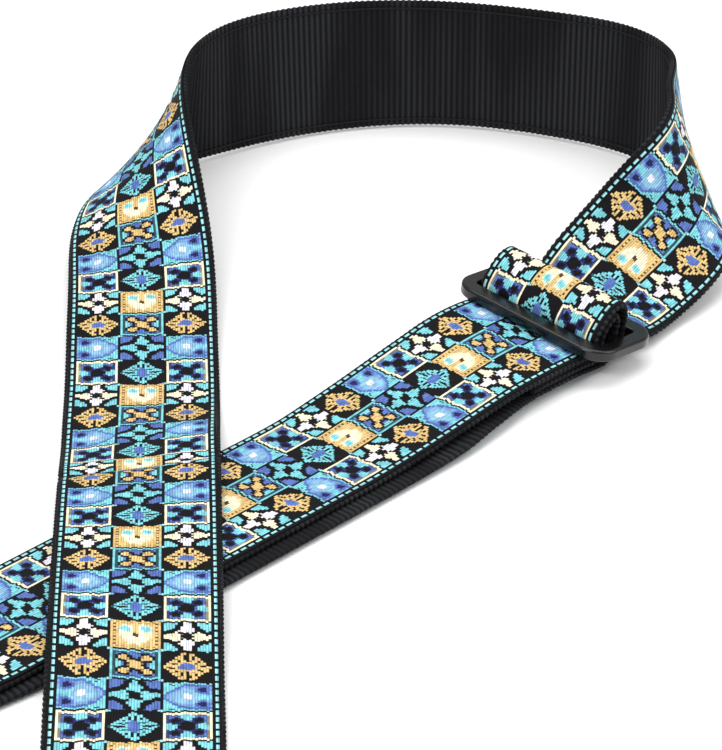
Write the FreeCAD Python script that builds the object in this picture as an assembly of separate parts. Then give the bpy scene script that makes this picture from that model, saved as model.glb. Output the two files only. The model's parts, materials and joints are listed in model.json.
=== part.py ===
"""Woven guitar strap, laid down in a loop with its slider threaded.

The strap is one long ribbon: a ribbed black webbing with a jacquard face sewn on it. It runs
from the front leather end, away along +Y, round a standing loop, back down through the slider,
on under itself to the ring of the rear leather end, round the ring's bar, and back to the
slider, where its end is wrapped round the centre bar and sewn to itself. The ribbon is modelled
in stretches, because each stretch moves with a different piece.

Frame: +Z up, the ground at z = 0, the origin at the centre of the front leather end's button
hole. The loop lies towards +Y and the rear end towards -X. Millimetres and degrees.
"""
import FreeCAD, Part
import math
import os

from FreeCAD import Placement, Rotation, Vector

os.makedirs("parts", exist_ok=True)

# ---- Strap ----
STRAP_WIDTH = 50.8
FACE_WIDTH = 48.8
BACKING_THICKNESS = 1.7
FACE_THICKNESS = 0.8
HALF_STRAP = (BACKING_THICKNESS + FACE_THICKNESS) / 2
LAYER_GAP = 0.3
LAYER_STEP = 2 * HALF_STRAP + LAYER_GAP
GROUND_MIDDLE = HALF_STRAP + 0.4
SECTION_STEP = 7.0
THREAD_WIDTH = 0.5
THREAD_HEIGHT = 0.3
THREAD_INSET = 3.0
SURFACE_GAP = 0.02

# ---- Leather ends ----
LEATHER = 2.0
PLY_GAP = 0.05
TAB_HALF_WIDTH = 25.0
TAB_TIP_RADIUS = 16.0
TAB_CORNER = 3.0
BUTTON_HOLE_RADIUS = 3.25
BUTTON_SLIT_LENGTH = 12.0
BUTTON_SLIT_WIDTH = 1.0
STITCH_LENGTH = 3.0
STITCH_PITCH = 4.2
STITCH_RADIUS = 0.4
PLY_POINT_STEP = 2.5

# ---- Front end: distances from the button hole along the strap ----
FRONT_HEADING = 92.6
FRONT_HINGE = 92.0
FRONT_HINGE_GAP = 1.4
FRONT_TAB_EDGE = 86.0
FRONT_WEBBING_END = 50.0
FRONT_PLY_STEP = (48.0, 36.0)
FRONT_SHOULDER = 46.0
FRONT_MIDDLE = LEATHER + PLY_GAP + HALF_STRAP
FRONT_STITCH_BOX = (54.0, 82.0, 19.0)

# ---- Main stretch. Straight part: distance from the origin, height of the middle, lean ----
STRAIGHT_STATIONS = [
    (FRONT_HINGE, FRONT_MIDDLE, 0.0),
    (110.0, 2.6, 0.0),
    (130.0, GROUND_MIDDLE, 0.0),
    (160.0, GROUND_MIDDLE, 0.0),
    (188.0, 2.8, -2.0),
    (211.6, 5.1, -6.0),
    (243.0, 7.4, -3.5),
    (270.7, 7.6, -0.8),
    (298.0, 7.6, 0.8),
    (320.0, 7.3, 3.5),
    (347.5, 5.0, 6.0),
    (364.0, 3.0, 2.5),
    (385.0, GROUND_MIDDLE, 0.0),
]
# Loop: x, y, height of the middle, lean. At lean 0 the face is up, and at 90 the strap stands
# on its left edge with the face outwards.
LOOP_STATIONS = [
    (-19.5, 423.0, 5.1, 0.0),
    (-22.2, 466.0, 11.0, 8.0),
    (-25.6, 508.0, 20.5, 32.0),
    (-21.8, 541.6, 25.0, 57.0),
    (-5.0, 572.0, 26.6, 85.0),
    (27.4, 597.0, 26.1, 95.0),
    (79.0, 607.0, 26.0, 90.0),
    (125.0, 596.0, 26.0, 90.0),
    (153.0, 580.0, 26.2, 92.0),
    (168.0, 553.0, 27.6, 86.0),
    (169.8, 519.0, 31.0, 74.0),
    (168.5, 483.0, 31.6, 60.0),
    (155.0, 462.5, 21.5, 38.0),
]

# ---- Slider: a frame of three bars, tipped up on the run's side and down at its own right ----
RUN_HEADING = 227.7
SLIDER_CENTRE = Vector(117.5, 423.2, 13.2)
SLIDER_PITCH = 6.0
SLIDER_ROLL = 5.5
SLIDER_LENGTH = 65.0
SLIDER_THICKNESS = 4.0
SLIDER_BAR = 6.5
SLIDER_CENTRE_BAR = 3.6
SLIDER_SLOT = 7.8
SLIDER_SLOT_LENGTH = 53.5
SLIDER_SIDE_SHIFT = 1.0
SLIDER_CORNER = 9.0
SLIDER_SLOT_CORNER = 1.5
SLIDER_EDGE_ROUND = 1.0

# ---- Strap round the slider's centre bar, in the slider's side view ----
ARCH_HALF_WIDTH = 7.5
ARCH_HEIGHT = 12.0
ARCH_SET_BACK = 3.0
ARCH_TURN = 3.4
ARCH_BASE = -0.25
ARCH_EXIT = ARCH_HALF_WIDTH + ARCH_TURN
ARCH_LEVEL = ARCH_BASE - ARCH_TURN
WRAP_HALF_WIDTH = 3.7
WRAP_HEIGHT = 8.0
WRAP_BASE = 0.5
FLAP_TURN = 2.6
FLAP_LEVEL = ARCH_LEVEL - LAYER_STEP
FLAP_BASE = FLAP_LEVEL + FLAP_TURN
RETURN_TURN = 5.0
RETURN_LEVEL = FLAP_LEVEL - LAYER_STEP
RETURN_BASE = RETURN_LEVEL + RETURN_TURN
ARC_STEPS = 12

# ---- Lead: the last of the main stretch, which pays out as the slider moves ----
LEAD_LENGTH = 24.0
# Distance behind the slider's centre, height of the middle, lean
LEAD_STATIONS = [
    (ARCH_EXIT + LEAD_LENGTH, 12.8, 23.0),
    (26.0, 9.4, 14.0),
    (18.0, 7.5, 7.0),
]

# ---- Run: distance from the slider's centre, height of the middle, lean ----
RUN_STATIONS = [
    (34.0, 11.9, 6.0),
    (48.0, 10.9, 4.0),
    (62.0, 9.3, 3.0),
    (76.0, 7.6, 2.0),
    (92.0, 5.9, 1.0),
    (110.0, 4.5, 0.0),
    (124.0, 4.2, 0.0),
    (160.0, 4.2, 0.0),
    (262.0, 4.2, 0.0),
]
FLAP_END = 40.0
SEWN_STITCH_BOX = (17.0, 36.0, 20.0)
# Return: the same columns, and its offset to the left of the run
RETURN_STATIONS = [
    (62.0, 4.3, 1.0, 2.5),
    (84.0, 2.2, 0.0, 4.5),
    (110.0, GROUND_MIDDLE, 0.0, 4.5),
    (250.0, GROUND_MIDDLE, 0.0, 4.0),
]

# ---- Rear ring and leather end: distances from the ring's strap bar along the run ----
RING_DISTANCE = 300.0
RING_WIRE_RADIUS = 2.0
RING_HALF_WIDTH = 28.0
RING_DEPTH = 13.0
RING_CORNER = 3.0
RING_CLEARANCE = 0.15
RING_TURN = RING_WIRE_RADIUS + RING_CLEARANCE + HALF_STRAP
RING_HEIGHT = GROUND_MIDDLE + RING_TURN
REAR_TURN = RING_WIRE_RADIUS + RING_CLEARANCE + LEATHER / 2
REAR_LOWER_MIDDLE = LEATHER / 2
REAR_UPPER_MIDDLE = REAR_LOWER_MIDDLE + LEATHER + PLY_GAP
REAR_PLY_STEP = (13.0, 31.0)
REAR_FLAP_END = 58.0
REAR_HOLE = 140.0
REAR_SHOULDER = 94.0
REAR_STITCH_BOX = (35.0, 54.0, 19.0)


# ---- Placements ----
def heading_placement(distance, heading, start=Vector(0, 0, 0)):
    """Local frame on a heading: x forwards, y left, z up, its origin at a distance from start."""
    turn = Rotation(Vector(0, 0, 1), heading)
    return Placement(start + turn.multVec(Vector(distance, 0, 0)), turn)


FRONT_PLACE = heading_placement(0.0, FRONT_HEADING)
RUN_START = Vector(SLIDER_CENTRE.x, SLIDER_CENTRE.y, 0)
RUN_PLACE = heading_placement(0.0, RUN_HEADING, RUN_START)
REAR_PLACE = heading_placement(RING_DISTANCE, RUN_HEADING, RUN_START)
SLIDER_PLACE = Placement(SLIDER_CENTRE, Rotation(RUN_HEADING, -SLIDER_PITCH, -SLIDER_ROLL))


# ---- Strap sections: middle, direction to the strap's right, direction of its face ----
def leaning_section(middle, forwards, lean):
    """Section at right angles to a direction of travel, its right edge raised by lean degrees."""
    level = forwards.cross(Vector(0, 0, 1)).normalize()
    upright = level.cross(forwards).normalize()
    angle = math.radians(lean)
    right = level * math.cos(angle) + upright * math.sin(angle)
    return middle, right, right.cross(forwards).normalize()


def shifted(section, amount, side=0.0):
    """The same section moved along its face's direction, and to its right."""
    middle, right, normal = section
    return middle + normal * amount + right * side, right, normal


def turned_over(section):
    """The same section for travel the other way, with the face on the other side."""
    middle, right, normal = section
    return middle, right, normal * -1


def path_distances(points):
    """Distance along a line of points, at each of them."""
    distances = [0.0]
    for before, after in zip(points, points[1:]):
        distances.append(distances[-1] + (after - before).Length)
    return distances


def graded(rows, step=SECTION_STEP):
    """Rows at even steps of their first column. Every other column runs smoothly through the
    given rows, never past them, and is level at both ends."""
    starts = [row[0] for row in rows]
    slopes = [[0.0] * len(rows[0])]
    for before, row, after in zip(rows, rows[1:], rows[2:]):
        values = []
        for low, value, high in zip(before, row, after):
            rise = (value - low) / (row[0] - before[0])
            next_rise = (high - value) / (after[0] - row[0])
            same_way = rise * next_rise > 0
            values.append(2 * rise * next_rise / (rise + next_rise) if same_way else 0.0)
        slopes.append(values)
    slopes.append([0.0] * len(rows[0]))
    count = math.ceil((starts[-1] - starts[0]) / step)
    result = []
    for index in range(count + 1):
        place = starts[0] + (starts[-1] - starts[0]) * index / count
        span = max(number for number in range(len(rows) - 1) if starts[number] <= place + 1e-9)
        width = starts[span + 1] - starts[span]
        part = (place - starts[span]) / width
        values = [place]
        for column in range(1, len(rows[0])):
            low = rows[span][column]
            high = rows[span + 1][column]
            bend = part * (1 - part) * width
            ease = part * part * (3 - 2 * part)
            lift = slopes[span][column] * (1 - part) - slopes[span + 1][column] * part
            values.append(low + (high - low) * ease + bend * lift)
        result.append(tuple(values))
    return result


def sections_through(stations, step=SECTION_STEP):
    """Even sections along a smooth curve through (middle, lean) stations."""
    middles = [middle for middle, lean in stations]
    distances = path_distances(middles)
    centre = Part.BSplineCurve()
    centre.interpolate(Points=middles, Parameters=distances)
    leans = Part.BSplineCurve()
    lean_points = [Vector(station[1], distance, 0) for station, distance in zip(stations, distances)]
    leans.interpolate(Points=lean_points, Parameters=distances)
    count = math.ceil(distances[-1] / step)
    sections = []
    for index in range(count + 1):
        distance = distances[-1] * index / count
        forwards = centre.getD1(distance)[1].normalize()
        sections.append(leaning_section(centre.value(distance), forwards, leans.value(distance).x))
    return sections


def side_sections(points, place):
    """Sections through (forwards, up) points of a side view, with the strap's width across it."""
    right = place.Rotation.multVec(Vector(0, -1, 0))
    middles = [place.multVec(Vector(forwards, 0, up)) for forwards, up in points]
    sections = []
    for index, middle in enumerate(middles):
        before = middles[max(index - 1, 0)]
        after = middles[min(index + 1, len(middles) - 1)]
        sections.append((middle, right, right.cross(after - before).normalize()))
    return sections


def arc_points(centre, radii, start, end, steps=ARC_STEPS):
    """Points of an ellipse's arc in a side view, by angle in degrees from straight forwards."""
    points = []
    for index in range(steps + 1):
        angle = math.radians(start + (end - start) * index / steps)
        points.append((centre[0] + radii[0] * math.cos(angle),
                       centre[1] + radii[1] * math.sin(angle)))
    return points


# ---- Solids ----
def set_back(points):
    """Side view points leaned back in proportion to their height above the slider's frame."""
    clear_of_frame = SLIDER_THICKNESS / 2 + 0.5
    lean = ARCH_SET_BACK / (ARCH_HEIGHT - clear_of_frame)
    return [(forwards - lean * max(up - clear_of_frame, 0.0), up) for forwards, up in points]


def ribbon(sections, left, right, low, high):
    """Solid between two distances to the right and two levels, along the sections."""
    distances = path_distances([section[0] for section in sections])
    corner_lines = []
    for side, level in ((left, low), (right, low), (right, high), (left, high)):
        curve = Part.BSplineCurve()
        points = [middle + across * side + normal * level for middle, across, normal in sections]
        curve.interpolate(Points=points, Parameters=distances)
        corner_lines.append(curve)
    faces = []
    for index, curve in enumerate(corner_lines):
        side = Part.BSplineSurface()
        side.buildFromPolesMultsKnots(
            [curve.getPoles(), corner_lines[index - 1].getPoles()],
            [2, 2], curve.getMultiplicities(), [0.0, 1.0], curve.getKnots(),
            False, False, 1, curve.Degree)
        faces.append(side.toShape())
    for distance in (distances[0], distances[-1]):
        corners = [curve.value(distance) for curve in corner_lines]
        faces.append(Part.Face(Part.makePolygon(corners + corners[:1])))
    shell = Part.makeShell(faces)
    shell.sewShape()
    solid = Part.makeSolid(shell)
    if solid.Volume < 0:
        solid.reverse()
    return solid


def backing(sections):
    half = STRAP_WIDTH / 2
    return ribbon(sections, -half, half, -HALF_STRAP, -HALF_STRAP + BACKING_THICKNESS)


def face(sections):
    half = FACE_WIDTH / 2
    return ribbon(sections, -half, half, -HALF_STRAP + BACKING_THICKNESS, HALF_STRAP)


def write(name, shape):
    shape.exportStep(os.path.join("parts", name + ".step"))


def write_strap(name, sections):
    """A stretch of strap as its two pieces."""
    write(name + "_backing", backing(sections))
    write(name + "_face", face(sections))


# ---- Leather ends ----
def tab_outline(edge, shoulder, hole, place, height=30.0):
    """Upright prism of a leather end's plan: straight from its edge to its shoulder, then
    narrowing to a round tip about the button hole."""
    away = 1 if hole > edge else -1
    wide = TAB_HALF_WIDTH
    tip = TAB_TIP_RADIUS
    reach = abs(hole - shoulder)
    lines = []
    ends = []
    for side in (1, -1):
        neck = Vector(hole, side * tip, 0)
        curve = Part.BezierCurve()
        curve.setPoles([
            Vector(shoulder, side * wide, 0),
            Vector(shoulder + away * reach * 0.45, side * wide, 0),
            Vector(hole - away * reach * 0.5, side * tip, 0),
            neck,
        ])
        lines.append(curve.toShape())
        corner = Vector(edge, side * (wide - TAB_CORNER), 0)
        side_start = Vector(edge + away * TAB_CORNER, side * wide, 0)
        bend = away * TAB_CORNER * (1 - math.sqrt(0.5))
        middle = Vector(edge + bend, side * (wide - TAB_CORNER * (1 - math.sqrt(0.5))), 0)
        lines.append(Part.Arc(corner, middle, side_start).toShape())
        lines.append(Part.makeLine(side_start, Vector(shoulder, side * wide, 0)))
        ends.append((corner, neck))
    lines.append(Part.makeLine(ends[0][0], ends[1][0]))
    lines.append(Part.Arc(ends[0][1], Vector(hole + away * tip, 0, 0), ends[1][1]).toShape())
    wire = Part.Wire(Part.__sortEdges__(lines))
    prism = Part.Face(wire).extrude(Vector(0, 0, height))
    prism.translate(Vector(0, 0, -1))
    return prism.transformed(place.toMatrix())


def button_cut(hole, towards, place, height=30.0):
    """Button hole with the slit that lets a strap button's head through."""
    bore = Part.makeCylinder(BUTTON_HOLE_RADIUS, height, Vector(hole, 0, -1))
    low = min(hole, hole + towards * (BUTTON_HOLE_RADIUS + BUTTON_SLIT_LENGTH))
    slit = Part.makeBox(BUTTON_HOLE_RADIUS + BUTTON_SLIT_LENGTH, BUTTON_SLIT_WIDTH, height,
                        Vector(low, -BUTTON_SLIT_WIDTH / 2, -1))
    return bore.fuse(slit).transformed(place.toMatrix())


def flat_sheet():
    """Leather lying on the ground, larger than any leather end."""
    reach = REAR_HOLE
    return Part.makeBox(2 * reach, 2 * reach, LEATHER, Vector(-reach, -reach, 0))


def leather_ply(points, place, outline, cut):
    """Leather of even thickness along a side view's middle line, cut to a plan outline."""
    half = LEATHER / 2
    slab = ribbon(side_sections(points, place), -2 * TAB_HALF_WIDTH, 2 * TAB_HALF_WIDTH, -half, half)
    return slab.common(outline).cut(cut)


def stepped(levels):
    """Side view's points at even steps, easing from each (distance, level) to the next."""
    points = []
    for (start, low), (end, high) in zip(levels, levels[1:]):
        count = math.ceil(abs(end - start) / PLY_POINT_STEP)
        for index in range(count):
            part = index / count
            ease = part ** 3 * (10 - 15 * part + 6 * part ** 2)
            points.append((start + (end - start) * part, low + (high - low) * ease))
    return points + [levels[-1]]


def stitch_line(start, end, surface):
    """Evenly spaced thread stitches between two (along, right) places on a surface."""
    length = math.dist(start, end)
    count = max(1, round(length / STITCH_PITCH))
    stitches = []
    for index in range(count):
        ends = []
        for side in (-1, 1):
            part = (index + 0.5) / count + side * STITCH_LENGTH / 2 / length
            ends.append(surface(start[0] + (end[0] - start[0]) * part,
                                start[1] + (end[1] - start[1]) * part))
        reach = ends[1] - ends[0]
        stitches.append(Part.makeCylinder(STITCH_RADIUS, reach.Length, ends[0], reach))
    return stitches


def stitched_box(box, surface):
    """Stitches round a rectangle (near end, far end, half width) and along its diagonals."""
    near, far, half = box
    corners = [(near, -half), (far, -half), (far, half), (near, half)]
    stitches = []
    for index, corner in enumerate(corners):
        stitches += stitch_line(corner, corners[(index + 1) % 4], surface)
    inset = STITCH_PITCH
    for side in (1, -1):
        stitches += stitch_line((near + inset, -side * (half - inset)),
                                (far - inset, side * (half - inset)), surface)
    return Part.makeCompound(stitches)


def level_surface(place, height):
    """A level surface as a function of distance along and distance to the left."""
    return lambda along, left: place.multVec(Vector(along, left, height))


def strap_surface(sections, level, place):
    """A strap's surface as a function of distance along and distance to its right."""
    distances = [place.inverse().multVec(section[0]).x for section in sections]

    def point(along, right):
        span = max(index for index in range(len(sections) - 1) if distances[index] <= along)
        part = (along - distances[span]) / (distances[span + 1] - distances[span])
        spots = []
        for middle, across, normal in sections[span:span + 2]:
            spots.append(middle + across * right + normal * level)
        return spots[0] * (1 - part) + spots[1] * part

    return point


# ---- Front leather end: two plies over and under the strap's end ----
front_end_points = [(FRONT_WEBBING_END, FRONT_MIDDLE), (68.0, FRONT_MIDDLE),
                    (FRONT_HINGE - FRONT_HINGE_GAP / 2, FRONT_MIDDLE)]
write_strap("front_end", side_sections(front_end_points, FRONT_PLACE))

front_outline = tab_outline(FRONT_TAB_EDGE, FRONT_SHOULDER, 0.0, FRONT_PLACE)
front_cut = button_cut(0.0, 1, FRONT_PLACE)
tip_end = -TAB_TIP_RADIUS - 2
edge_end = FRONT_TAB_EDGE + 2
tongue_level = 1.5 * LEATHER + PLY_GAP
over_webbing = FRONT_MIDDLE + HALF_STRAP + PLY_GAP + LEATHER / 2
write("front_tab_bottom", front_outline.common(flat_sheet()).cut(front_cut))
top_points = stepped([(tip_end, tongue_level), (FRONT_PLY_STEP[1], tongue_level),
                      (FRONT_PLY_STEP[0], over_webbing), (edge_end, over_webbing)])
write("front_tab_top", leather_ply(top_points, FRONT_PLACE, front_outline, front_cut))
stitch_height = over_webbing + LEATHER / 2 + STITCH_RADIUS + SURFACE_GAP
write("front_tab_stitching",
      stitched_box(FRONT_STITCH_BOX, level_surface(FRONT_PLACE, stitch_height)))

# ---- Slider ----
half_slider = SLIDER_CENTRE_BAR / 2 + SLIDER_SLOT + SLIDER_BAR
frame = Part.makeBox(2 * half_slider, SLIDER_LENGTH, SLIDER_THICKNESS,
                     Vector(-half_slider, -SLIDER_LENGTH / 2, -SLIDER_THICKNESS / 2))
upright = [edge for edge in frame.Edges if abs(edge.tangentAt(edge.FirstParameter).z) > 0.9]
frame = frame.makeFillet(SLIDER_CORNER, upright)
rims = [edge for edge in frame.Edges if abs(edge.tangentAt(edge.FirstParameter).z) < 0.1]
frame = frame.makeFillet(SLIDER_EDGE_ROUND, rims)
for side in (-1, 1):
    middle = side * (SLIDER_CENTRE_BAR + SLIDER_SLOT) / 2
    slot = Part.makeBox(SLIDER_SLOT, SLIDER_SLOT_LENGTH, SLIDER_THICKNESS,
                        Vector(middle - SLIDER_SLOT / 2, -SLIDER_SLOT_LENGTH / 2,
                               -SLIDER_THICKNESS / 2))
    slot_uprights = [edge for edge in slot.Edges
                     if abs(edge.tangentAt(edge.FirstParameter).z) > 0.9]
    frame = frame.cut(slot.makeFillet(SLIDER_SLOT_CORNER, slot_uprights))
slot_rims = []
for edge in frame.Edges:
    box = edge.BoundBox
    on_rim = box.ZLength < 0.01 and abs(abs(box.ZMax) - SLIDER_THICKNESS / 2) < 0.01
    in_slot = max(abs(box.XMin), abs(box.XMax)) < half_slider - SLIDER_BAR + 0.01
    if on_rim and in_slot:
        slot_rims.append(edge)
frame = frame.makeFillet(SLIDER_EDGE_ROUND, slot_rims)
frame.translate(Vector(0, SLIDER_SIDE_SHIFT, 0))
write("slider", frame.transformed(SLIDER_PLACE.toMatrix()))

# ---- Arch: up the far slot, over the centre bar and down the near slot ----
arch_points = arc_points((-ARCH_EXIT, ARCH_BASE), (ARCH_TURN, ARCH_TURN), -90, 0)
arch_points += arc_points((0, ARCH_BASE), (ARCH_HALF_WIDTH, ARCH_HEIGHT), 180, 0, 24)[1:]
arch_points += arc_points((ARCH_EXIT, ARCH_BASE), (ARCH_TURN, ARCH_TURN), 180, 270)[1:]
arch_sections = side_sections(set_back(arch_points), SLIDER_PLACE)
write_strap("arch", arch_sections)

# ---- Main stretch and lead: one smooth line from the front hinge to the slider ----
main_stations = []
for distance, height, lean in graded(STRAIGHT_STATIONS):
    main_stations.append((FRONT_PLACE.multVec(Vector(distance, 0, height)), lean))
for x, y, height, lean in LOOP_STATIONS:
    main_stations.append((Vector(x, y, height), lean))
for behind, height, lean in LEAD_STATIONS:
    main_stations.append((RUN_PLACE.multVec(Vector(-behind, 0, height)), lean))
lead_start = main_stations[-len(LEAD_STATIONS)][0]
main_stations.append((arch_sections[0][0], SLIDER_ROLL))
whole_sections = sections_through(main_stations)
whole_sections[0] = side_sections([(FRONT_HINGE + FRONT_HINGE_GAP / 2, FRONT_MIDDLE),
                                   (FRONT_TAB_EDGE + 2 * SECTION_STEP, FRONT_MIDDLE)],
                                  FRONT_PLACE)[0]
whole_sections[-1] = arch_sections[0]
split = min(range(len(whole_sections)),
            key=lambda index: (whole_sections[index][0] - lead_start).Length)
main_sections = whole_sections[:split + 1]
write_strap("main", main_sections)
write_strap("lead", whole_sections[split:])
threads = []
for side in (-1, 1):
    line = side * (STRAP_WIDTH / 2 - THREAD_INSET)
    threads.append(ribbon(main_sections, line - THREAD_WIDTH / 2, line + THREAD_WIDTH / 2,
                          -HALF_STRAP - SURFACE_GAP - THREAD_HEIGHT, -HALF_STRAP - SURFACE_GAP))
write("main_edge_stitching", Part.makeCompound(threads))

# ---- Run: from the slider to the rear ring ----
run_stations = [(arch_sections[-1][0], SLIDER_ROLL)]
run_rows = RUN_STATIONS + [(RING_DISTANCE, RING_HEIGHT + RING_TURN, 0.0)]
for distance, height, lean in graded(run_rows):
    run_stations.append((RUN_PLACE.multVec(Vector(distance, 0, height)), lean))
turn_points = arc_points((0, RING_HEIGHT), (RING_TURN, RING_TURN), 90, -90, 16)
turn_sections = side_sections(turn_points, REAR_PLACE)
write_strap("turn", turn_sections)
run_sections = sections_through(run_stations)
run_sections[0] = arch_sections[-1]
run_sections[-1] = turn_sections[0]
write_strap("run", run_sections)

# ---- Sewn end: under the centre bar, up the far slot, over the bar and back as a flap ----
under_run = [section for section in run_sections
             if RUN_PLACE.inverse().multVec(section[0]).x < FLAP_END]
return_part = [turned_over(shifted(section, -2 * LAYER_STEP)) for section in reversed(under_run[1:])]
wrap_points = [(ARCH_EXIT, RETURN_LEVEL)]
wrap_points += arc_points((RETURN_TURN - WRAP_HALF_WIDTH, RETURN_BASE),
                          (RETURN_TURN, RETURN_TURN), 270, 180)
wrap_points += arc_points((0, WRAP_BASE), (WRAP_HALF_WIDTH, WRAP_HEIGHT - WRAP_BASE), 180, 0, 24)
wrap_points += arc_points((WRAP_HALF_WIDTH + FLAP_TURN, FLAP_BASE), (FLAP_TURN, FLAP_TURN),
                          180, 270)[1:]
wrap_points += [(ARCH_EXIT, FLAP_LEVEL)]
flap_part = [shifted(section, -LAYER_STEP) for section in under_run[1:]]
sewn_sections = return_part + side_sections(set_back(wrap_points), SLIDER_PLACE) + flap_part
write_strap("sewn_end", sewn_sections)
stitch_level = -2 * LAYER_STEP - HALF_STRAP - STITCH_RADIUS - SURFACE_GAP
stitch_surface = strap_surface(under_run, stitch_level, RUN_PLACE)
write("sewn_end_stitching", stitched_box(SEWN_STITCH_BOX, stitch_surface))

# ---- Return: from the turn, under the run, to the sewn end ----
stack_end = RUN_PLACE.inverse().multVec(return_part[0][0])
return_rows = [(stack_end.x, stack_end.z, RUN_STATIONS[0][2], stack_end.y)]
return_rows += RETURN_STATIONS + [(RING_DISTANCE, GROUND_MIDDLE, 0.0, 0.0)]
return_stations = []
for distance, height, lean, offset in graded(return_rows):
    return_stations.append((RUN_PLACE.multVec(Vector(distance, offset, height)), lean))
return_sections = [turned_over(section) for section in sections_through(return_stations)]
return_sections[0] = return_part[0]
return_sections[-1] = turn_sections[-1]
write_strap("return", return_sections)

# ---- Rear ring and leather end ----
ring_solid = Part.makeBox(RING_DEPTH, 2 * RING_HALF_WIDTH, 1, Vector(0, -RING_HALF_WIDTH, 0))
ring_uprights = [edge for edge in ring_solid.Edges
                 if abs(edge.tangentAt(edge.FirstParameter).z) > 0.9]
ring_solid = ring_solid.makeFillet(RING_CORNER, ring_uprights)
ring_wire = min(ring_solid.Faces, key=lambda item: item.CenterOfMass.z).OuterWire
start = ring_wire.Edges[0]
normal = start.tangentAt(start.FirstParameter)
wire_centre = start.valueAt(start.FirstParameter)
ring_profile = Part.Wire(Part.makeCircle(RING_WIRE_RADIUS, wire_centre, normal))
ring = ring_wire.makePipeShell([ring_profile], True, True)
ring.translate(Vector(0, 0, RING_HEIGHT))
write("rear_ring", ring.transformed(REAR_PLACE.toMatrix()))

rear_outline = tab_outline(RING_DEPTH - 6.0, REAR_SHOULDER, REAR_HOLE, REAR_PLACE)
rear_cut = button_cut(REAR_HOLE, -1, REAR_PLACE)
rear_points = stepped([(REAR_FLAP_END, REAR_UPPER_MIDDLE), (REAR_PLY_STEP[1], REAR_UPPER_MIDDLE),
                       (REAR_PLY_STEP[0], RING_HEIGHT + REAR_TURN)])
rear_points += arc_points((RING_DEPTH, RING_HEIGHT), (REAR_TURN, REAR_TURN), 90, 270, 16)[1:-1]
rear_points += stepped([(RING_DEPTH, RING_HEIGHT - REAR_TURN),
                        (RING_DEPTH + 9.0, REAR_LOWER_MIDDLE),
                        (REAR_HOLE + TAB_TIP_RADIUS + 2, REAR_LOWER_MIDDLE)])
write("rear_tab", leather_ply(rear_points, REAR_PLACE, rear_outline, rear_cut))
rear_stitch_height = REAR_UPPER_MIDDLE + LEATHER / 2 + STITCH_RADIUS + SURFACE_GAP
write("rear_tab_stitching",
      stitched_box(REAR_STITCH_BOX, level_surface(REAR_PLACE, rear_stitch_height)))
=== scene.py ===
"""Woven guitar strap: jacquard face, ribbed webbing, leather ends, slider and ring.

The strap's path is traced from the CAD ribbons' long edges, so every strap piece lies where its
CAD stretch does. Distances along and across the strap are in millimetres; the scene is in metres.
"""

import json
import math

import bmesh
import bpy
import numpy as np
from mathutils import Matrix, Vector


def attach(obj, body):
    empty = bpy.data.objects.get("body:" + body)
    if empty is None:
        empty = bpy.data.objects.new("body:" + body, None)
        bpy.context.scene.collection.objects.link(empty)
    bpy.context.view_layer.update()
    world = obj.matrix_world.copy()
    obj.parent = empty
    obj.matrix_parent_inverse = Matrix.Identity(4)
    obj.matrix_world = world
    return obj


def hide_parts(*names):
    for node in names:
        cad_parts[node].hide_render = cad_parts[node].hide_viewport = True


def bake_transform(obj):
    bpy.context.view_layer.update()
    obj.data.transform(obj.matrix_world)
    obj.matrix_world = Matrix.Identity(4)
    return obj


MM = 0.001
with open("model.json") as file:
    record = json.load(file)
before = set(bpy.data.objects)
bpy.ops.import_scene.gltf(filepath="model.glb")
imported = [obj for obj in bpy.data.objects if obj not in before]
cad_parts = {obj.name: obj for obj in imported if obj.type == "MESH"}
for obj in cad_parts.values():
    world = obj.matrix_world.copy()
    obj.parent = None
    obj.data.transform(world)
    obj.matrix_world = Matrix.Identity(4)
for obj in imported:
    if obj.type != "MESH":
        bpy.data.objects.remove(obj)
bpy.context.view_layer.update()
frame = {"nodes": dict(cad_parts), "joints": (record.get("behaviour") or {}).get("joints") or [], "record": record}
NODES = frame["nodes"]
JOINTS = {joint["name"]: joint for joint in frame["joints"]}

# ---- The strap ----
STRETCHES = ("front_end", "main", "lead", "arch", "run", "turn", "return", "sewn_end")
BACK_LEVEL = -1.25
BACKING_TOP = 0.45
FACE_TOP = 1.25
HALF_BACKING = 25.4
HALF_FACE = 24.4
WELD = 1e-6
RIDGE_ANGLE = math.radians(40)
TURN_LIMIT = 0.6
HEADING_REACH = 0.5
JOIN_GAP = 0.1
PATH_STEP = 0.4
FACING_ROUNDS = 12
HINGE_REACH = 100.0


# ---- Tracing the CAD ribbons ----
def unit(vectors):
    return vectors / np.linalg.norm(vectors, axis=-1, keepdims=True)


def ridge_steps(node):
    """A node's vertices, and for each one on a ridge the vertices next along a ridge."""
    mesh = bmesh.new()
    mesh.from_mesh(NODES[node].data)
    bmesh.ops.remove_doubles(mesh, verts=mesh.verts, dist=WELD)
    steps = {}
    for edge in mesh.edges:
        if len(edge.link_faces) == 2 and edge.calc_face_angle(0.0) > RIDGE_ANGLE:
            first, second = edge.verts
            steps.setdefault(first.index, []).append(second.index)
            steps.setdefault(second.index, []).append(first.index)
    spots = np.array([vertex.co for vertex in mesh.verts])
    mesh.free()
    return spots, steps


def end_heading(line, before):
    """The direction a line ends in, or the one before if the line is still too short."""
    for point in reversed(line):
        if np.linalg.norm(line[-1] - point) > HEADING_REACH * MM:
            return unit(line[-1] - point)
    return before


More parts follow.
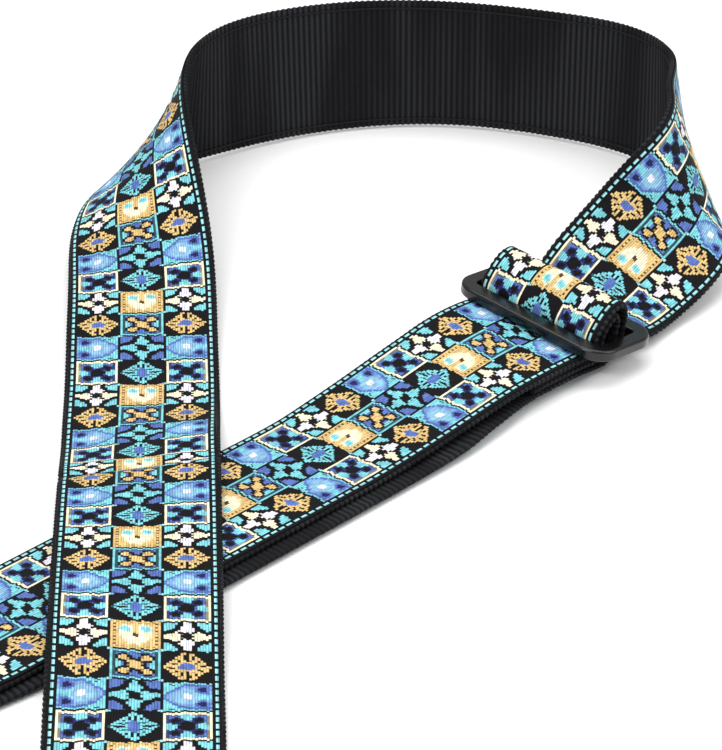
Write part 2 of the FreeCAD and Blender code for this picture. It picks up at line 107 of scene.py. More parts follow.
def walk_edge(spots, steps, start, heading):
    """Points along the ridge that leaves start most nearly in the heading, to its end."""
    on_ridge = np.array(sorted(steps))
    current = on_ridge[np.argmin(np.linalg.norm(spots[on_ridge] - start, axis=1))]
    line = [spots[current]]
    visited = {current}
    while True:
        choices = [index for index in steps[current] if index not in visited]
        if not choices:
            return line
        onward = [unit(spots[index] - spots[current]) for index in choices]
        best = int(np.argmax([step @ heading for step in onward]))
        if onward[best] @ heading < TURN_LIMIT:
            return line
        current = choices[best]
        visited.add(current)
        line.append(spots[current])
        heading = end_heading(line, heading)


def trace_strap():
    """Left and right back edges of the whole strap, and the points each stretch starts at."""
    axis = np.array(JOINTS["front_end_flex"]["axis"])
    heading = np.cross(axis, (0.0, 0.0, 1.0))
    spots, _ = ridge_steps("front_end_backing")
    reach = spots @ heading
    cap = spots[reach < reach.min() + MM]
    edges = []
    for side in (1, -1):
        score = cap @ axis * side - cap[:, 2]
        edges.append([cap[np.argmax(score)]])
    headings = [heading, heading]
    starts = []
    for stretch in STRETCHES:
        spots, steps = ridge_steps(stretch + "_backing")
        marks = []
        for side, edge in enumerate(edges):
            line = walk_edge(spots, steps, edge[-1], headings[side])
            if np.linalg.norm(edge[-1] - line[0]) < JOIN_GAP * MM:
                edge.pop()
            marks.append(len(edge))
            edge.extend(line)
            headings[side] = end_heading(line, headings[side])
        starts.append(marks)
    return [np.array(edge) for edge in edges], starts


class Spline:
    """Natural cubic spline through rows of values at rising knots."""

    def __init__(self, knots, values):
        self.knots = knots
        self.values = values
        gaps = np.diff(knots)
        count = len(knots)
        matrix = np.eye(count)
        right = np.zeros_like(values)
        inner = np.arange(1, count - 1)
        matrix[inner, inner - 1] = gaps[:-1]
        matrix[inner, inner] = 2 * (gaps[:-1] + gaps[1:])
        matrix[inner, inner + 1] = gaps[1:]
        slopes = np.diff(values, axis=0) / gaps[:, None]
        right[1:-1] = 6 * np.diff(slopes, axis=0)
        self.bends = np.linalg.solve(matrix, right)

    def at(self, places):
        """Values and slopes at the places."""
        span = np.clip(np.searchsorted(self.knots, places, side="right") - 1, 0, len(self.knots) - 2)
        gap = (self.knots[span + 1] - self.knots[span])[:, None]
        ahead = (self.knots[span + 1] - places)[:, None] / gap
        behind = 1 - ahead
        low, high = self.values[span], self.values[span + 1]
        low_bend, high_bend = self.bends[span], self.bends[span + 1]
        value = ahead * low + behind * high
        value += ((ahead ** 3 - ahead) * low_bend + (behind ** 3 - behind) * high_bend) * gap ** 2 / 6
        slope = (high - low) / gap
        slope += ((3 * behind ** 2 - 1) * high_bend - (3 * ahead ** 2 - 1) * low_bend) * gap / 6
        return value, slope


def chord_lengths(points):
    return np.concatenate([[0.0], np.cumsum(np.linalg.norm(np.diff(points, axis=0), axis=1))])


class Strap:
    """The strap's middle line: places, directions to the right and face directions, in metres,
    by distance along it in millimetres from the front hinge."""

    def __init__(self):
        (left, right), starts = trace_strap()
        left_knots, right_knots = chord_lengths(left), chord_lengths(right)
        left_line, right_line = Spline(left_knots, left), Spline(right_knots, right)
        marks = [(left_knots[a], right_knots[b]) for a, b in starts]
        marks.append((left_knots[-1], right_knots[-1]))
        count = int(left_knots[-1] / (PATH_STEP * MM))
        places = np.linspace(0, left_knots[-1], count)
        lefts, _ = left_line.at(places)
        facing = np.interp(places, [mark[0] for mark in marks], [mark[1] for mark in marks])
        for _ in range(FACING_ROUNDS):
            rights, slopes = right_line.at(facing)
            miss = np.sum((rights - lefts) * slopes, axis=1) / np.sum(slopes ** 2, axis=1)
            facing = np.clip(facing - miss, 0, right_knots[-1])
        rights, _ = right_line.at(facing)
        across = unit(rights - lefts)
        back = (lefts + rights) / 2
        normals = unit(np.cross(across, np.gradient(back, axis=0)))
        middle = back - normals * BACK_LEVEL * MM
        lengths = chord_lengths(middle) / MM
        stretch_starts = np.interp([mark[0] for mark in marks[:-1]], places, lengths)
        self.starts = dict(zip(STRETCHES, stretch_starts))
        self.end = lengths[-1]
        hinge = np.array(JOINTS["front_end_flex"]["pos_m"])
        near = lengths < self.starts["main"] + HINGE_REACH
        offset = lengths[near][np.argmin(np.linalg.norm(middle[near] - hinge, axis=1))]
        self.starts = {name: start - offset for name, start in self.starts.items()}
        self.end -= offset
        self.places = Spline(lengths - offset, middle)
        self.rights = Spline(lengths - offset, across)

    def frames(self, distances):
        """Middles, directions to the right and face directions at distances along the strap."""
        middles, slopes = self.places.at(distances)
        rights, _ = self.rights.at(distances)
        rights = unit(rights)
        return middles, rights, unit(np.cross(rights, slopes))

    def span(self, stretch):
        """Where a stretch starts and ends along the strap."""
        index = STRETCHES.index(stretch)
        start = self.starts[stretch]
        end = self.starts[STRETCHES[index + 1]] if index + 1 < len(STRETCHES) else self.end
        return start, end


strap = Strap()


# ---- Building the ribbons ----
RIB_PITCH = 2.2
RIB_DEPTH = 0.38
RIB_ROUNDNESS = 0.7
SELVEDGE_DEPTH = 0.36
BACK_STEP = 0.275
FACE_STEP = 1.1
FACE_COLUMN = 1.2
FACE_TURN = 0.6
SEAM_PLACE = 22.4
SEAM_WIDTH = 0.45
SEAM_DEPTH = 0.22
SEAM_PITCH = 3.3
BACK_COLUMNS = [0.0, 4.5, 9.0, 13.5, 18.0]
RIM_START = 24.0
RIM_ROUNDING = 0.25
LID_HALF = 23.6
LID_SINK = 0.03


def ribbon_mesh(name, rings, along, across):
    """A closed ribbon from rings of points (stations x points x 3), with its coordinates on the
    strap kept as attributes."""
    stations, around = rings.shape[:2]
    index = np.arange(stations * around).reshape(stations, around)
    following = np.roll(index, -1, axis=1)
    sides = np.stack([index[:-1], index[1:], following[1:], following[:-1]], axis=-1).reshape(-1, 4)
    mesh = bpy.data.meshes.new(name)
    mesh.vertices.add(stations * around)
    mesh.vertices.foreach_set("co", rings.astype(np.float32).ravel())
    corners = np.concatenate([sides.ravel(), index[0], index[-1][::-1]])
    sizes = np.concatenate([np.full(len(sides), 4), [around, around]])
    mesh.loops.add(len(corners))
    mesh.loops.foreach_set("vertex_index", corners.astype(np.int32))
    mesh.polygons.add(len(sizes))
    mesh.polygons.foreach_set("loop_start", np.concatenate([[0], np.cumsum(sizes)[:-1]]).astype(np.int32))
    mesh.update(calc_edges=True)
    mesh.validate()
    mesh.shade_smooth()
    for label, values in (("along", along), ("across", across)):
        attribute = mesh.attributes.new(label, "FLOAT", "POINT")
        attribute.data.foreach_set("value", values.astype(np.float32).ravel())
    piece = bpy.data.objects.new(name, mesh)
    bpy.context.scene.collection.objects.link(piece)
    return piece


def stations_of(stretch, step):
    """Even distances along a stretch, about a step apart."""
    start, end = strap.span(stretch)
    return np.linspace(start, end, max(2, round((end - start) / step) + 1))


CREASE_PLACE = 236.0
CREASE_SLANT = 0.12
CREASE_WIDTH = 2.4
CREASE_DIP = 0.9


def crease_dip(distances, across):
    """How far the fold that crosses the front stretch sinks below its surface."""
    away = (distances[:, None] - CREASE_PLACE - CREASE_SLANT * across) / CREASE_WIDTH
    return CREASE_DIP * np.exp(-away ** 2)


def placed(distances, across, level):
    """Points at distances along, across and above the strap's middle surface."""
    level = level - crease_dip(distances, across)
    middles, rights, normals = strap.frames(distances)
    return (middles[:, None] + rights[:, None] * (across * MM)[..., None]
            + normals[:, None] * (level * MM)[..., None])


def rib(distances):
    """How far the cords stand out: 1 on a cord's crown, 0 between two cords."""
    return np.abs(np.sin(math.pi * distances / RIB_PITCH)) ** RIB_ROUNDNESS


def backing_mesh(stretch):
    """Ribbed webbing: cords across its back, scalloped selvedges and a sewn line inside each."""
    along = stations_of(stretch, BACK_STEP)
    seam = [SEAM_PLACE + SEAM_WIDTH * k for k in (-1.6, -0.8, 0.0, 0.8, 1.6)]
    half = BACK_COLUMNS + seam + [RIM_START + 0.3, RIM_START + 0.9]
    columns = np.array([-value for value in half[:0:-1]] + half)
    cords = rib(along)[:, None]
    stitch = 0.5 + 0.5 * np.cos(2 * math.pi * along / SEAM_PITCH)[:, None]
    near_seam = np.exp(-((np.abs(columns) - SEAM_PLACE) / SEAM_WIDTH) ** 2)[None]
    rounding = RIM_ROUNDING * np.clip((np.abs(columns) - RIM_START) / 0.9, 0, 1)[None] ** 2
    under = BACK_LEVEL + RIB_DEPTH * (1 - cords) + SEAM_DEPTH * near_seam * stitch + rounding
    width = np.broadcast_to(columns[None], under.shape)
    selvedge = SELVEDGE_DEPTH * np.cos(math.pi * along / RIB_PITCH)[:, None] ** 2
    rim = np.array([
        [HALF_BACKING - 0.15, -0.85], [HALF_BACKING, -0.4], [HALF_BACKING, 0.0],
        [HALF_BACKING - 0.2, 0.32], [HALF_BACKING - 0.6, BACKING_TOP],
    ])
    out = rim[None, :, 0] - selvedge
    high = np.broadcast_to(rim[None, :, 1], out.shape)
    top = np.array([LID_HALF, 0.0, -LID_HALF])
    flat = np.broadcast_to(top[None], (len(along), 3))
    lid = np.full((len(along), 3), BACKING_TOP - LID_SINK)
    across = np.concatenate([width, out, flat, -out[:, ::-1]], axis=1)
    level = np.concatenate([under, high, lid, high[:, ::-1]], axis=1)
    piece = ribbon_mesh(stretch + "_webbing", placed(along, across, level),
                        np.broadcast_to(along[:, None], across.shape), across)
    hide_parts(stretch + "_backing")
    return piece


def face_mesh(stretch):
    """Jacquard face: an even sheet with a turned edge."""
    along = stations_of(stretch, FACE_STEP)
    flat_half = HALF_FACE - FACE_TURN
    count = 2 * round(flat_half / FACE_COLUMN) + 1
    columns = np.linspace(-flat_half, flat_half, count)
    edge = np.array([
        [HALF_FACE - 0.2, FACE_TOP - 0.08], [HALF_FACE, FACE_TOP - 0.3], [HALF_FACE, BACKING_TOP],
    ])
    across = np.concatenate([columns, edge[:, 0], -edge[::-1, 0]])
    level = np.concatenate([np.full(count, FACE_TOP), edge[:, 1], edge[::-1, 1]])
    across, level = across[::-1], level[::-1]
    wide = np.broadcast_to(across[None], (len(along), len(across)))
    high = np.broadcast_to(level[None], wide.shape)
    piece = ribbon_mesh(stretch + "_jacquard", placed(along, wide, high),
                        np.broadcast_to(pattern_distance(along)[:, None], wide.shape), wide)
    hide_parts(stretch + "_face")
    return piece


# Distance along the strap, and how far the weave is ahead of it there. The fold in the front
# stretch takes up some; the rest sets where the rows lie on each stretch that shows its face.
WEAVE_MARKS = [
    (165.0, 0.0), (216.0, 3.7), (231.0, 4.5), (243.0, 14.5), (262.0, 14.5), (290.0, 11.0),
    (322.0, 8.5), (420.0, 8.5), (700.0, -5.5), (836.0, -5.5), (890.0, -7.5),
]


def pattern_distance(along):
    """Distance along the woven pattern at distances along the strap."""
    places, ahead = np.array(WEAVE_MARKS).T
    return along + np.interp(along, places, ahead)


pieces = {}
for stretch in STRETCHES:
    pieces[stretch] = (backing_mesh(stretch), face_mesh(stretch))


# ---- Shader arithmetic ----
class Wire:
    """A number flowing between shader nodes, with ordinary arithmetic."""

    def __init__(self, tree, socket):
        self.tree = tree
        self.socket = socket

    def do(self, operation, *others, clamp=False):
        node = self.tree.nodes.new("ShaderNodeMath")
        node.operation = operation
        node.use_clamp = clamp
        for socket, value in zip(node.inputs, (self, *others)):
            if isinstance(value, Wire):
                self.tree.links.new(value.socket, socket)
            else:
                socket.default_value = value
        return Wire(self.tree, node.outputs[0])

    def __add__(self, other):
        return self.do("ADD", other)

    def __sub__(self, other):
        return self.do("SUBTRACT", other)

    def __mul__(self, other):
        return self.do("MULTIPLY", other)

    def __truediv__(self, other):
        return self.do("DIVIDE", other)

    def __abs__(self):
        return self.do("ABSOLUTE")

    def floor(self):
        return self.do("FLOOR")

    def fraction(self):
        return self.do("FRACT")

    def power(self, exponent):
        return self.do("POWER", exponent)

    def most(self, other):
        return self.do("MAXIMUM", other)

    def least(self, other):
        return self.do("MINIMUM", other)

    def below(self, limit, blur=0.03):
        """1 where this number is below the limit, 0 above, with a soft step."""
        return self.do("MULTIPLY_ADD", -1 / blur, limit / blur + 0.5, clamp=True)

    def above(self, limit, blur=0.03):
        return self.do("MULTIPLY_ADD", 1 / blur, -limit / blur + 0.5, clamp=True)


class Shader:
    """A principled material being built."""

    def __init__(self, name):
        self.material = bpy.data.materials.new(name)
        self.material.use_nodes = True
        self.tree = self.material.node_tree
        self.surface = self.tree.nodes["Principled BSDF"]

    def put(self, value, socket):
        if isinstance(value, Wire):
            self.tree.links.new(value.socket, socket)
        elif isinstance(value, bpy.types.NodeSocket):
            self.tree.links.new(value, socket)
        elif isinstance(value, tuple) and len(value) == 3 and socket.type == "RGBA":
            socket.default_value = (*value, 1.0)
        else:
            socket.default_value = value

    def set(self, **values):
        for name, value in values.items():
            self.put(value, self.surface.inputs[name.replace("_", " ")])

    def attribute(self, name):
        node = self.tree.nodes.new("ShaderNodeAttribute")
        node.attribute_name = name
        return Wire(self.tree, node.outputs["Fac"])

    def vector(self, x=0.0, y=0.0, z=0.0):
        node = self.tree.nodes.new("ShaderNodeCombineXYZ")
        for value, socket in zip((x, y, z), node.inputs):
            self.put(value, socket)
        return node.outputs[0]

    def place(self):
        return self.tree.nodes.new("ShaderNodeTexCoord").outputs["Object"]

    def noise(self, vector, scale=1.0, detail=2.0, roughness=0.5):
        node = self.tree.nodes.new("ShaderNodeTexNoise")
        self.put(vector, node.inputs["Vector"])
        self.put(scale, node.inputs["Scale"])
        self.put(detail, node.inputs["Detail"])
        self.put(roughness, node.inputs["Roughness"])
        return Wire(self.tree, node.outputs["Fac"])

    def cells(self, vector, scale=1.0):
        node = self.tree.nodes.new("ShaderNodeTexVoronoi")
        self.put(vector, node.inputs["Vector"])
        self.put(scale, node.inputs["Scale"])
        return Wire(self.tree, node.outputs["Distance"])

    def chance(self, x, y=0.0):
        """An even random number for each whole-numbered place."""
        node = self.tree.nodes.new("ShaderNodeTexWhiteNoise")
        node.noise_dimensions = "2D"
        self.put(self.vector(x, y), node.inputs["Vector"])
        return Wire(self.tree, node.outputs["Value"])

    def mix(self, part, low, high, blend="MIX"):
        node = self.tree.nodes.new("ShaderNodeMix")
        node.data_type = "RGBA"
        node.blend_type = blend
        for value, place in ((part, 0), (low, 6), (high, 7)):
            self.put(value, node.inputs[place])
        return node.outputs[2]

    def bump(self, height, distance, strength=1.0):
        node = self.tree.nodes.new("ShaderNodeBump")
        self.put(height, node.inputs["Height"])
        self.put(distance, node.inputs["Distance"])
        self.put(strength, node.inputs["Strength"])
        return node.outputs[0]


def colour(red, green, blue):
    """Linear colour from the usual 0 to 255 values."""
    parts = []
    for value in (red, green, blue):
        share = value / 255
        parts.append(share / 12.92 if share <= 0.04045 else ((share + 0.055) / 1.055) ** 2.4)
    return tuple(parts)


# ---- Jacquard ----
ROW = 13.75
COLUMN = 44.0 / 3
THREAD = 0.8
THREAD_STAGGER = 0.95
FLOAT_LENGTH = 1.9
FIELD_HALF = 21.95
DASH_INNER = 22.5
DASH_OUTER = 23.4
DASH_PITCH = 3.3
DASH_SHARE = 0.66
DASH_SHIFT = 0.15
KNOT_RADIUS = 0.75
GROUND = colour(11, 10, 14)
CYAN = colour(124, 204, 214)
PALE_CYAN = colour(156, 220, 226)
PERIWINKLE = colour(88, 114, 182)
BLUE = colour(84, 110, 178)
LIGHT_BLUE = colour(118, 160, 208)
PALE_BLUE = colour(140, 188, 220)
LILAC = colour(236, 234, 248)
GOLD = colour(222, 188, 124)
CREAM = colour(248, 238, 204)
NAVY = colour(34, 36, 84)
BROWN = colour(88, 58, 34)
TILE_EDGE = 0.94


class Motif:
    """One woven tile. Its own coordinates run from -1 to 1: outwards across, and along."""

    def __init__(self, shader, across, along):
        self.shader = shader
        self.u, self.v = across, along
        self.au, self.av = abs(across), abs(along)
        self.box = self.au.most(self.av)
        self.ink = GROUND

    def paint(self, ink, mask):
        self.ink = self.shader.mix(mask, self.ink, ink)

    def disc(self, u, v, radius, folded=True, tall=None):
        """Mask of an ellipse. Folded ones stand in each quarter of the tile."""
        across, along = (self.au, self.av) if folded else (self.u, self.v)
        du, dv = (across - u) / radius, (along - v) / (tall or radius)
        return (du * du + dv * dv).below(1.0, 0.22)

    def rays(self, count, near, far, reach):
        """Short dashes that point away from the tile's centre."""
        angle = self.v.do("ARCTAN2", self.u)
        return ((angle * count).do("SINE").above(0.35, 0.5) * reach.above(near) * reach.below(far))


def leaf(motif):
    """Pointed leaf on a cyan ground, with two dark seeds."""
    u, v, au, av = motif.u, motif.v, motif.au, motif.av
    motif.paint(CYAN, motif.box.below(TILE_EDGE))
    dashes = (motif.u * 18.0).do("SINE").above(-0.2, 0.4)
    diagonal = abs(av + u * 0.45 - 0.55).below(0.035) * u.below(-0.2) * dashes
    motif.paint(GROUND, diagonal)
    profile = ((u + 0.92) * 0.9).do("MAXIMUM", 0.0001).power(0.62).least(0.86)
    inside = (av - profile).below(0.0) * motif.box.below(TILE_EDGE)
    motif.paint(LIGHT_BLUE, inside)
    motif.paint(BLUE, (av - profile).above(-0.16) * inside)
    motif.paint(PALE_BLUE, motif.disc(0.02, 0.0, 0.56, False, 0.52))
    motif.paint(LILAC, motif.disc(0.02, 0.0, 0.20, False, 0.20))
    motif.paint(CYAN, av.below(0.14) * u.above(0.42) * motif.box.below(TILE_EDGE))
    motif.paint(BLUE, motif.disc(0.6, 0.5, 0.3, True, 0.28) * u.above(0.0))
    motif.paint(NAVY, motif.disc(0.6, 0.5, 0.17) * u.above(0.0))


def star(motif, sides, ends, corners):
    """Four-pointed star between corner arcs."""
    au, av = motif.au, motif.av
    du, dv = au * -1.0 + 1.0, av * -1.0 + 1.0
    corner = (du * du + dv * dv).power(0.5)
    within = motif.box.below(TILE_EDGE)
    motif.paint(corners, corner.below(0.62) * within)
    points = corner.above(0.88) * within
    gap = abs(au - av).above(0.09, 0.05) * (au + av).above(0.30)
    motif.paint(sides, points * gap)
    if ends != sides:
        motif.paint(ends, points * gap * (av - au).above(0.0))


def cyan_star(motif):
    star(motif, CYAN, CYAN, PERIWINKLE)


def cream_star(motif):
    star(motif, CREAM, LILAC, CYAN)


def gold_diamond(motif):
    """Faceted gold diamond with a blue eye, split along the strap."""
    au, av = motif.au, motif.av
    reach = av / 0.88 + (au - 0.22).do("MAXIMUM", 0.0) / 0.72
    motif.paint(GOLD, reach.below(1.0))
    motif.paint(GROUND, motif.rays(12.0, 0.42, 0.84, reach.least(5.0)))
    motif.paint(GROUND, au.below(0.055) * av.above(0.3))
    motif.paint(PERIWINKLE, motif.disc(0.0, 0.0, 0.34, True, 0.24))


def cyan_diamond(motif):
    """Cyan diamond with a blue eye and short rays."""
    au, av = motif.au, motif.av
    reach = (au + av) / 0.97
    motif.paint(CYAN, reach.below(1.0))
    motif.paint(GROUND, motif.rays(14.0, 0.42, 0.82, reach))
    motif.paint(GROUND, av.below(0.035) * au.above(0.28) * reach.below(1.0))
    motif.paint(PERIWINKLE, motif.disc(0.0, 0.0, 0.22, True, 0.42))


def blue_square(motif):
    """Blue square in a cream border, with a black flower."""
    motif.paint(CREAM, motif.box.below(TILE_EDGE))
    inner = motif.box.below(0.79)
    motif.paint(GROUND, inner)
    motif.paint(BLUE, motif.box.below(0.74))
    motif.paint(CYAN, motif.disc(0.62, 0.0, 0.24) * inner)
    motif.paint(CYAN, motif.disc(0.0, 0.64, 0.26) * inner)
    motif.paint(NAVY, motif.disc(0.42, 0.40, 0.25))
    motif.paint(GROUND, motif.disc(0.0, 0.0, 0.34))
    motif.paint(GROUND, motif.disc(0.44, 0.42, 0.15))


def flower_square(motif):
    """Gold four-petalled flower in a cyan border."""
    au, av = motif.au, motif.av
    motif.paint(CYAN, motif.box.below(TILE_EDGE))
    motif.paint(GROUND, motif.box.below(0.83))
    motif.paint(PERIWINKLE, motif.box.below(0.77))
    motif.paint(CYAN, au.above(0.55) * motif.box.below(0.77) * av.below(0.5, 0.3))
    motif.paint(GROUND, motif.disc(0.44, 0.44, 0.31))
    motif.paint(GROUND, motif.disc(0.0, 0.0, 0.42))
    motif.paint(GOLD, motif.disc(0.45, 0.45, 0.18))
    motif.paint(GOLD, motif.disc(0.0, 0.0, 0.27))
    motif.paint(GOLD, abs(au - av).below(0.09) * (au + av).below(0.8))


def gold_ornament(motif):
    """Cream heart on a gold tile, with two cyan ovals."""
    au, av, v = motif.au, motif.av, motif.v
    motif.paint(GOLD, motif.box.below(TILE_EDGE))
    dotted = ((au + av) * 26.0).do("SINE").above(0.2, 0.4)
    motif.paint(BROWN, motif.box.above(0.80) * motif.box.below(0.85) * dotted)
    lobes = motif.disc(0.32, 0.34, 0.36) * v.above(0.0)
    body = motif.disc(0.0, 0.18, 0.64, False, 0.84) * v.below(0.3)
    motif.paint(CREAM, lobes.most(body))
    motif.paint(GOLD, au.below(0.13) * v.above(0.06) * motif.box.below(TILE_EDGE))
    motif.paint(PALE_CYAN, motif.disc(0.40, 0.40, 0.24, True, 0.21) * v.above(0.0))
    motif.paint(CYAN, motif.disc(0.40, 0.40, 0.15, True, 0.12) * v.above(0.0))
    motif.paint(BROWN, motif.disc(0.0, -0.02, 0.12, False, 0.13))


SIDE_MOTIFS = (leaf, gold_diamond, cream_star, blue_square)
CENTRE_MOTIFS = (cyan_star, flower_square, gold_ornament, cyan_diamond)


def jacquard():
    """Woven face: tiles of coloured floats on black, dashes along each edge, and single threads, each painted
    lighter on its crown and darker at its edges as painted highlight and painted shade.
    """
    shader = Shader("jacquard")
    along, across = shader.attribute("along"), shader.attribute("across")
    thread = (across / THREAD).floor()
    luck = shader.chance(thread)
    float_row = (along / FLOAT_LENGTH + luck * 7.0).floor()
    jog = shader.chance(thread, float_row)
    cut = along + (luck - 0.5) * THREAD_STAGGER
    row = cut / ROW + 0.5
    line = (thread + 0.5) * THREAD
    column = line / COLUMN + 0.5
    number = column.floor()
    v = (row.fraction() - 0.5) * 2.0
    raw = (column.fraction() - 0.5) * 2.0
    kind = ((row.floor() / 4.0).fraction() * 4.0)
    outward = raw * number
    ink = GROUND
    for index, (side, centre) in enumerate(zip(SIDE_MOTIFS, CENTRE_MOTIFS)):
        edge_tile = Motif(shader, outward, v)
        side(edge_tile)
        middle_tile = Motif(shader, raw, v)
        centre(middle_tile)
        tile = shader.mix(abs(number).above(0.5), middle_tile.ink, edge_tile.ink)
        ink = tile if index == 0 else shader.mix(kind.above(index - 0.5, 0.2), ink, tile)
    corner_u = abs(abs(line) - COLUMN / 2)
    corner_v = abs(abs(v) - 1.0) * (ROW / 2)
    ink = shader.mix((corner_u + corner_v).below(KNOT_RADIUS, 0.2), ink, PALE_CYAN)
    out = abs(across)
    ink = shader.mix(out.above(FIELD_HALF, 0.1), ink, GROUND)
    dash = (along / DASH_PITCH + DASH_SHIFT).fraction()
    in_line = out.above(DASH_INNER, 0.12) * out.below(DASH_OUTER, 0.12)
    dashes = in_line * dash.below(DASH_SHARE, 0.06)
    ink = shader.mix(dashes, ink, PALE_CYAN)
    inside = (across / THREAD).fraction() - 0.5
    crown = (inside * inside) * -4.0 + 1.0
    place = shader.vector(along * 0.35, across * 2.4)
    strands = shader.noise(place, 1.0, 3.0, 0.65)
    # Painted highlight and painted shade: each thread is painted lighter on its crown and darker at its edges,
    # where the gaps between threads fall in shade; strands and jog add random tone.
    painted_thread_light_and_tone = strands * 0.95 + crown * 0.48 + jog * 0.34 - 0.08
    worn = shader.noise(shader.vector(along * 0.02, across * 0.03), 1.0, 2.0)
    painted_thread_light_and_tone = painted_thread_light_and_tone * (worn * 0.16 + 0.92)
    ink = shader.mix(1.0, ink, tone_colour(shader, painted_thread_light_and_tone), "MULTIPLY")
    height = crown * 0.7 + strands * 0.4 + jog * 0.3
    shader.set(Base_Color=ink, Roughness=0.62, Normal=shader.bump(height, 0.00016, 0.8))
    shader.set(Sheen_Weight=0.02, Sheen_Roughness=0.4, Specular_IOR_Level=0.12)
    return shader.material


def tone_colour(shader, value):
    """A grey of the given strength."""
    node = shader.tree.nodes.new("ShaderNodeCombineColor")
    for socket in node.inputs:
        shader.put(value, socket)
    return node.outputs[0]


def webbing():
    """Black ribbed webbing: fine twisted yarn on each cord, a painted highlight on each cord's crown and broad
    patches of painted sheen.
    """
    shader = Shader("webbing")
    along, across = shader.attribute("along"), shader.attribute("across")
    yarn = (across * 7.4 + along * 2.0).do("SINE")
    cord = abs((along * (math.pi / RIB_PITCH)).do("SINE"))
    fuzz = shader.noise(shader.vector(along * 1.6, across * 2.6), 1.0, 4.0, 0.7)
    broad = shader.noise(shader.vector(along * 0.035, across * 0.006), 1.0, 2.0)
    # Painted sheen: broad patches where the cords' painted highlights show strongly, and others where they fade.
    lit = broad.above(0.5, 0.14) * 0.75 + 0.25
    # Painted highlight: each cord's crown is painted lighter than the black between cords; fuzz adds random yarn
    # tone.
    painted_rib_highlight_and_fuzz = cord * cord * lit * 0.8 + fuzz * 0.22
    ink = shader.mix(painted_rib_highlight_and_fuzz, colour(3, 3, 4), colour(46, 47, 51))
    height = yarn * 0.25 + fuzz * 0.5
    shader.set(Base_Color=ink, Roughness=0.78, Normal=shader.bump(height, 0.00012, 0.7))
    shader.set(Sheen_Weight=0.02, Sheen_Roughness=0.4, Specular_IOR_Level=0.12)
    return shader.material


def leather():
    """Black leather: pebbled grain, pores and lighter, rougher patches."""
    shader = Shader("leather")
    place = shader.place()
    grain = shader.cells(place, 900.0)
    pores = shader.noise(place, 2600.0, 3.0, 0.6)
    patches = shader.noise(place, 45.0, 3.0, 0.55)
    ink = shader.mix(patches, colour(11, 10, 10), colour(29, 26, 25))
    height = grain * 0.7 + pores * 0.3
    rough = patches * 0.22 + 0.38
    shader.set(Base_Color=ink, Roughness=rough, Normal=shader.bump(height, 0.00025, 0.55))
    shader.set(Specular_IOR_Level=0.45)
    return shader.material


def thread():
    """Twisted black thread."""
    shader = Shader("thread")
    place = shader.place()
    twist = shader.noise(place, 3200.0, 2.0, 0.5)
    ink = shader.mix(twist, colour(6, 6, 7), colour(27, 27, 30))
    shader.set(Base_Color=ink, Roughness=0.6, Normal=shader.bump(twist, 0.00015, 0.6))
    shader.set(Sheen_Weight=0.03, Specular_IOR_Level=0.2)
    return shader.material


def moulded_plastic():
    """Black moulded plastic: satin, with a faint pull grain and rubbed patches."""
    shader = Shader("slider_plastic")
    place = shader.place()
    fine = shader.noise(place, 1400.0, 3.0, 0.6)
    broad = shader.noise(place, 60.0, 3.0, 0.5)
    ink = shader.mix(broad, colour(5, 5, 6), colour(12, 12, 13))
    rough = broad * 0.12 + 0.17
    shader.set(Base_Color=ink, Roughness=rough, Normal=shader.bump(fine, 0.00006, 0.35))
    shader.set(Specular_IOR_Level=0.5)
    return shader.material


def coated_wire():
    """Black coated wire with faint wear."""
    shader = Shader("coated_wire")
    place = shader.place()
    wear = shader.noise(place, 260.0, 4.0, 0.6)
    ink = shader.mix(wear.above(0.66, 0.08), colour(18, 18, 19), colour(70, 70, 72))
    fine = shader.noise(place, 1800.0, 2.0, 0.5)
    shader.set(Base_Color=ink, Roughness=wear * 0.2 + 0.25, Metallic=0.55)
    shader.set(Normal=shader.bump(fine, 0.00005, 0.4), Coat_Weight=0.4)
    return shader.material


MATERIALS = {
    "jacquard": jacquard(), "webbing": webbing(), "leather": leather(), "thread": thread(),
    "slider": moulded_plastic(), "ring": coated_wire(),
}


def dress(piece, slot):
    """Gives a piece its material."""
    piece.data.materials.clear()
    piece.data.materials.append(MATERIALS[slot])


for backing, face in pieces.values():
    dress(backing, "webbing")
    dress(face, "jacquard")
SLOTS = {row["node"]: row["material_slot"] for row in frame["record"]["subparts"]}
for name, node in NODES.items():
    if not node.hide_render:
        dress(node, SLOTS[name])


# ---- How the strap pieces move ----
for piece in pieces["front_end"]:
    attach(piece, "front_end")
for piece in pieces["main"]:
    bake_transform(piece)
for piece in pieces["lead"]:
    lead_start = Vector(strap.frames(np.array([strap.starts["lead"]]))[0][0])
    lead_end = Vector(strap.frames(np.array([strap.starts["arch"]]))[0][0])
    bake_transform(piece)
for stretch in ("arch", "sewn_end"):
    for piece in pieces[stretch]:
        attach(piece, "slider")
for stretch in ("run", "return"):
    for piece in pieces[stretch]:
        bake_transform(piece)
for piece in pieces["turn"]:
    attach(piece, "turn")


# ---- Floor, light and camera ----
FLOOR_SIZE = 12.0
FLOOR_DROP = 0.0003


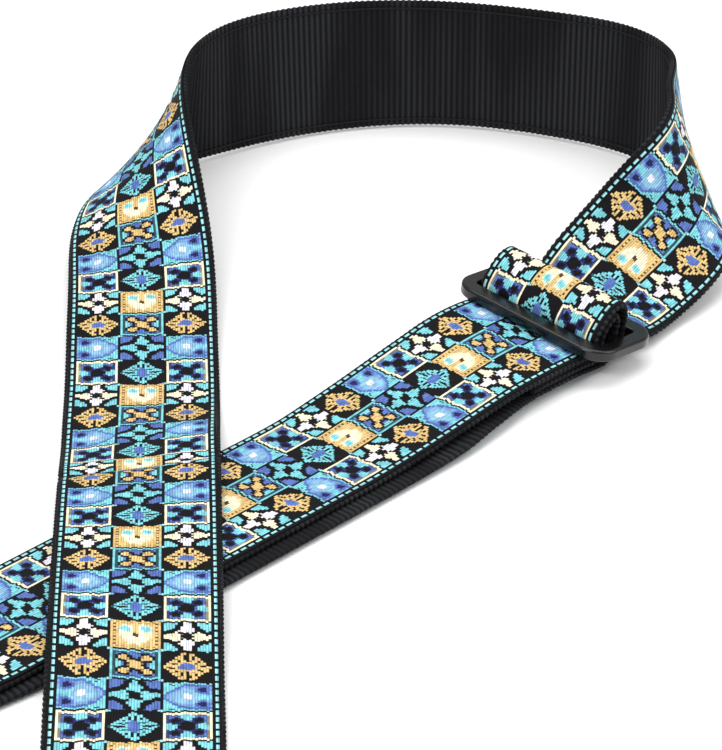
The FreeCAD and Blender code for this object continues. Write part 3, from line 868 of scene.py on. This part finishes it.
def floor():
    """Pale floor just under the strap."""
    shader = Shader("pale_floor")
    speckle = shader.noise(shader.place(), 400.0, 2.0)
    ink = shader.mix(speckle, colour(250, 250, 250), colour(253, 253, 253))
    shader.set(Base_Color=ink, Roughness=0.9, Specular_IOR_Level=0.1)
    bpy.ops.mesh.primitive_plane_add(size=FLOOR_SIZE, location=(0, 0, -FLOOR_DROP))
    plane = bpy.context.object
    plane.name = "floor"
    plane.data.materials.append(shader.material)


def softbox(name, place, aim, size, power):
    """Rectangular lamp at a place, turned towards the aim."""
    light = bpy.data.lights.new(name, "AREA")
    light.shape = "RECTANGLE"
    light.size, light.size_y = size
    light.energy = power
    lamp = bpy.data.objects.new(name, light)
    lamp.location = place
    lamp.rotation_euler = (Vector(aim) - Vector(place)).to_track_quat("-Z", "Y").to_euler()
    bpy.context.scene.collection.objects.link(lamp)


LOOK_AT = Vector((0.0538, 0.4021, 0.0))
ELEVATION = math.radians(27.8)
DISTANCE = 1.13
LENS = 164.3
SENSOR = 36.0
LAMP_AIM = (0.05, 0.4, 0.0)
WORLD_STRENGTH = 0.5


def camera():
    """Long lens, looking down on the loop and the slider from the front."""
    lens = bpy.data.cameras.new("camera")
    lens.lens = LENS
    lens.sensor_width = SENSOR
    lens.clip_start = 0.01
    eye = bpy.data.objects.new("camera", lens)
    eye.location = LOOK_AT + Vector((0, -math.cos(ELEVATION), math.sin(ELEVATION))) * DISTANCE
    eye.rotation_euler = (LOOK_AT - eye.location).to_track_quat("-Z", "Y").to_euler()
    bpy.context.scene.collection.objects.link(eye)
    bpy.context.scene.camera = eye


floor()
softbox("top", (0.0, 0.55, 1.3), LAMP_AIM, (1.4, 1.0), 12.0)
softbox("front", (-0.7, -0.5, 0.9), LAMP_AIM, (0.8, 0.8), 5.6)
softbox("strip", (-0.35, -0.35, 0.75), (0.1, 0.4, 0.0), (0.7, 0.05), 2.5)
softbox("side", (1.0, 0.3, 0.8), LAMP_AIM, (0.7, 0.7), 4.5)
world = bpy.data.worlds.new("studio")
world.use_nodes = True
background = world.node_tree.nodes["Background"]
background.inputs["Color"].default_value = (1, 1, 1, 1)
background.inputs["Strength"].default_value = WORLD_STRENGTH
bpy.context.scene.world = world
bpy.context.scene.view_settings.view_transform = "Standard"
camera()
